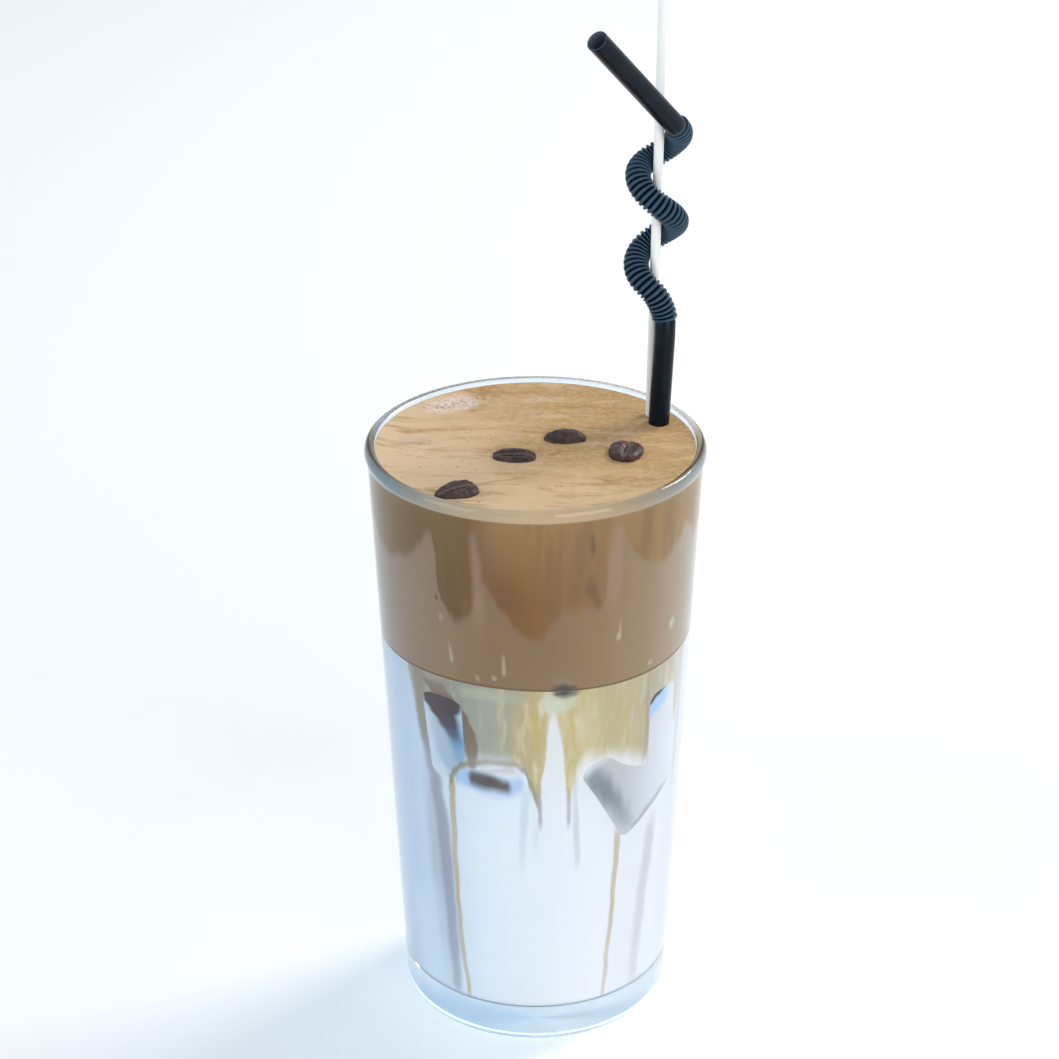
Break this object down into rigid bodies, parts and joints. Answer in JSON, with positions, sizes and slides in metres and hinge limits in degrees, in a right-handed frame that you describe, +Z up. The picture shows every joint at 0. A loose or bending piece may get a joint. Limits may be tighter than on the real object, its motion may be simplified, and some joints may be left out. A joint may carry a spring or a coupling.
{
  "type": "iced coffee in a glass",
  "caption": "Tall glass of layered iced coffee: milk below, froth above, coffee beans on top and a black ribbed straw wound round a slim white stirrer.",
  "frame": {"origin": "middle of the glass's foot, on the surface that it stands on", "axes": "+Z up along the glass's axis, -Y towards the viewer, +X to the viewer's right, where the straw stands"},
  "size_m": [0.08, 0.08, 0.257],
  "materials": {
    "clear_glass": "clear and smooth, with a fire polished rim",
    "milk": "milk, opaque, smooth against the glass",
    "coffee_and_milk": "milk stained with coffee, opaque, smooth against the glass",
    "coffee_froth": "fine coffee froth, matt",
    "roasted_bean": "dark roasted, slightly oily",
    "black_plastic": "thin moulded black plastic, half gloss",
    "white_plastic": "white plastic, half gloss"
  },
  "bodies": {
    "root": {"glass": "clear_glass", "milk": "milk", "coffee_milk_mix": "coffee_and_milk", "coffee_froth": "coffee_froth", "coffee_bean_1": "roasted_bean", "coffee_bean_2": "roasted_bean", "coffee_bean_3": "roasted_bean", "coffee_bean_4": "roasted_bean", "straw": "black_plastic", "stirrer": "white_plastic"}
  },
  "joints": []
}
